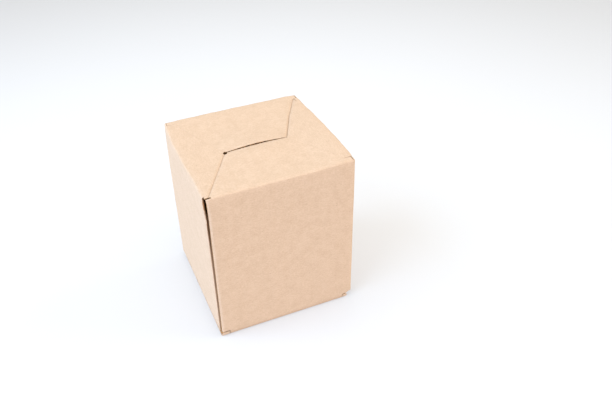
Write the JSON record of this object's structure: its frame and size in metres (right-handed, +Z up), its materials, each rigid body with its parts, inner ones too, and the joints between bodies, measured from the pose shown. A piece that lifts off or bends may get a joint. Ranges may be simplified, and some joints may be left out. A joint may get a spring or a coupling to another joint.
{
  "type": "closed corrugated carton",
  "caption": "Small upright corrugated carton with a glued corner, a self-locking base of tucked flaps and a hinged tuck lid.",
  "frame": {"origin": "middle of the footprint, on the surface that the carton stands on", "axes": "+Z up, from the tuck lid to the self-locking base; -Y the front wall, at whose foot the lid is hinged; +X to the right seen from the front"},
  "size_m": [0.1, 0.0974, 0.118],
  "materials": {
    "kraft_board": "matte",
    "kraft_lid": "matte"
  },
  "bodies": {
    "carton": {"carton": "kraft_board"},
    "lid": {"tuck_lid": "kraft_lid"}
  },
  "joints": [
    {"name": "lid_hinge", "type": "hinge", "parent": "carton", "child": "lid", "pos_m": [0, -0.04787, 0.00088], "axis": [-1, 0, 0], "range_deg": [0, 160]}
  ]
}
